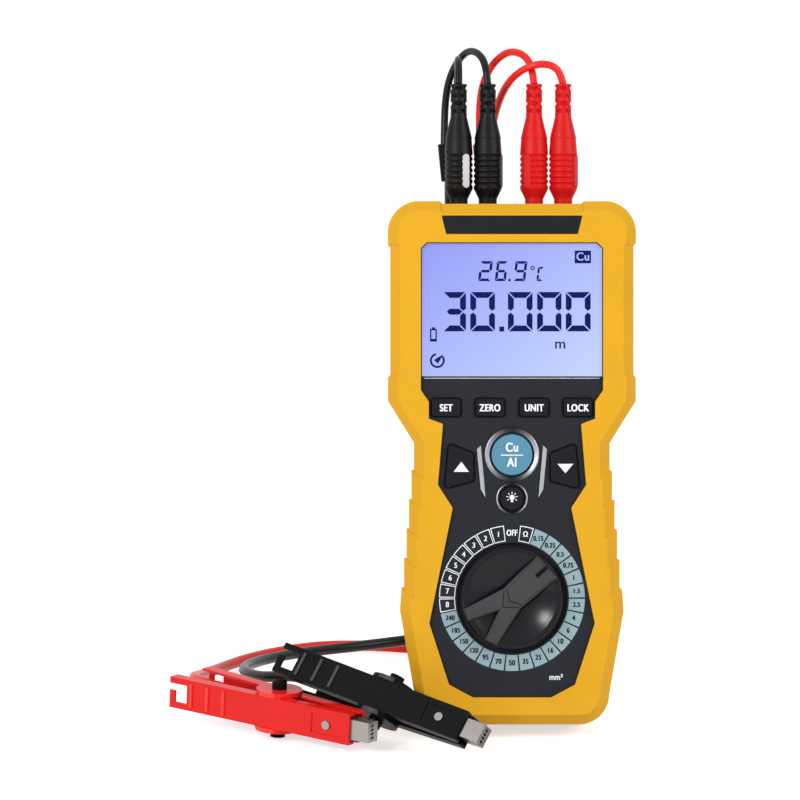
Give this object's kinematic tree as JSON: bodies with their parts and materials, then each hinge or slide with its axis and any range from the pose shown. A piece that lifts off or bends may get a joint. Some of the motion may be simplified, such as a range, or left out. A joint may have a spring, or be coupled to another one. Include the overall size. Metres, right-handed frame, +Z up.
{
  "type": "cable length counter",
  "caption": "Hand-held cable length counter with a display, push keys and a rotary selector, leaning on its tilt stand, with plugged-in clip leads.",
  "frame": {"origin": "on the table, under the middle of the leaning meter's own box (without the leads)", "axes": "+Z up, +X to the right of someone who reads the display, -Y towards that reader"},
  "size_m": [0.2068, 0.2248, 0.2965],
  "materials": {
    "yellow_plastic": "satin moulded",
    "dark_plastic": "fine texture",
    "dark_key": "satin",
    "blue_key": "satin",
    "knob_plastic": "satin, glossy dish",
    "silver_trim": "satin",
    "name_plate_black": "fine texture",
    "window_clear": "clear",
    "lcd_glass": "backlit",
    "backlight": "smooth",
    "board_green": "smooth",
    "rubber_mat": "matte",
    "cell_metal": "satin",
    "screw_steel": "satin",
    "nickel": "satin",
    "black_rubber": "satin",
    "red_rubber": "satin",
    "black_cord": "satin",
    "red_cord": "satin",
    "black_plastic": "satin moulded",
    "red_plastic": "satin moulded"
  },
  "bodies": {
    "meter": {"front_case": "yellow_plastic", "rear_case": "yellow_plastic", "face_panel": "dark_plastic", "display_window": "window_clear", "lcd_panel": "lcd_glass", "backlight_panel": "backlight", "name_plate": "name_plate_black", "metal_key_ring": "silver_trim", "light_key_ring": "silver_trim", "accent_bar_left": "silver_trim", "accent_bar_right": "silver_trim", "detent_spring": "dark_plastic", "circuit_board": "board_green", "key_mat": "rubber_mat", "socket_block": "dark_plastic", "socket_sleeves": "nickel", "battery_cells": "cell_metal", "battery_cover": "dark_plastic", "case_screws": "screw_steel", "cover_screw": "screw_steel", "black_plug_outer": "black_rubber", "black_plug_inner": "black_rubber", "black_plug_pins": "nickel", "black_boot": "black_rubber", "black_coil": "black_cord", "black_wire_outer": "black_cord", "black_wire_inner": "black_cord", "black_lead": "black_cord", "black_rear_arm": "black_plastic", "black_rear_jaw": "nickel", "black_clip_spring": "screw_steel", "black_pivot_pin": "screw_steel", "red_plug_outer": "red_rubber", "red_plug_inner": "red_rubber", "red_plug_pins": "nickel", "red_boot": "red_rubber", "red_coil": "red_cord", "red_wire_outer": "red_cord", "red_wire_inner": "red_cord", "red_lead": "red_cord", "red_rear_arm": "red_plastic", "red_rear_jaw": "nickel", "red_clip_spring": "screw_steel", "red_pivot_pin": "screw_steel"},
    "selector": {"selector_knob": "knob_plastic", "selector_wafer": "dark_plastic"},
    "stand": {"tilt_stand": "dark_plastic"},
    "black_front_grip": {"black_front_arm": "black_plastic", "black_front_jaw": "nickel"},
    "red_front_grip": {"red_front_arm": "red_plastic", "red_front_jaw": "nickel"},
    "row_key_1_cap": {"row_key_1": "dark_key"},
    "row_key_2_cap": {"row_key_2": "dark_key"},
    "row_key_3_cap": {"row_key_3": "dark_key"},
    "row_key_4_cap": {"row_key_4": "dark_key"},
    "up_key_cap": {"up_key": "dark_key"},
    "down_key_cap": {"down_key": "dark_key"},
    "metal_key_cap": {"metal_key": "blue_key"},
    "light_key_cap": {"light_key": "dark_key"}
  },
  "joints": [
    {"name": "selector_turn", "type": "hinge", "parent": "meter", "child": "selector", "pos_m": [0, -0.03651, 0.06242], "axis": [0, -0.9848, 0.1736], "continuous": true},
    {"name": "stand_fold", "type": "hinge", "parent": "meter", "child": "stand", "pos_m": [0, 0.02431, 0.13212], "axis": [1, 0, 0], "range_deg": [-18.32, 0]},
    {"name": "row_key_1_push", "type": "slide", "parent": "meter", "child": "row_key_1_cap", "axis": [0, 0.9848, -0.1736], "range_m": [0, 0.001], "stiffness_N_per_m": 400, "springref_m": -0.0005},
    {"name": "row_key_2_push", "type": "slide", "parent": "meter", "child": "row_key_2_cap", "axis": [0, 0.9848, -0.1736], "range_m": [0, 0.001], "stiffness_N_per_m": 400, "springref_m": -0.0005},
    {"name": "row_key_3_push", "type": "slide", "parent": "meter", "child": "row_key_3_cap", "axis": [0, 0.9848, -0.1736], "range_m": [0, 0.001], "stiffness_N_per_m": 400, "springref_m": -0.0005},
    {"name": "row_key_4_push", "type": "slide", "parent": "meter", "child": "row_key_4_cap", "axis": [0, 0.9848, -0.1736], "range_m": [0, 0.001], "stiffness_N_per_m": 400, "springref_m": -0.0005},
    {"name": "up_key_push", "type": "slide", "parent": "meter", "child": "up_key_cap", "axis": [0, 0.9848, -0.1736], "range_m": [0, 0.001], "stiffness_N_per_m": 400, "springref_m": -0.0005},
    {"name": "down_key_push", "type": "slide", "parent": "meter", "child": "down_key_cap", "axis": [0, 0.9848, -0.1736], "range_m": [0, 0.001], "stiffness_N_per_m": 400, "springref_m": -0.0005},
    {"name": "metal_key_push", "type": "slide", "parent": "meter", "child": "metal_key_cap", "axis": [0, 0.9848, -0.1736], "range_m": [0, 0.001], "stiffness_N_per_m": 400, "springref_m": -0.0005},
    {"name": "light_key_push", "type": "slide", "parent": "meter", "child": "light_key_cap", "axis": [0, 0.9848, -0.1736], "range_m": [0, 0.001], "stiffness_N_per_m": 400, "springref_m": -0.0005},
    {"name": "black_clip_open", "type": "hinge", "parent": "meter", "child": "black_front_grip", "pos_m": [-0.0558, -0.0511, 0.01919], "axis": [-0.4448, -0.3984, -0.8021], "range_deg": [0, 15], "stiffness_Nm_per_rad": 0.6, "springref_deg": -22.92},
    {"name": "red_clip_open", "type": "hinge", "parent": "meter", "child": "red_front_grip", "pos_m": [-0.10285, -0.0368, 0.01271], "axis": [-0.0404, 0.0275, -0.9988], "range_deg": [0, 15], "stiffness_Nm_per_rad": 0.6, "springref_deg": -22.92}
  ]
}
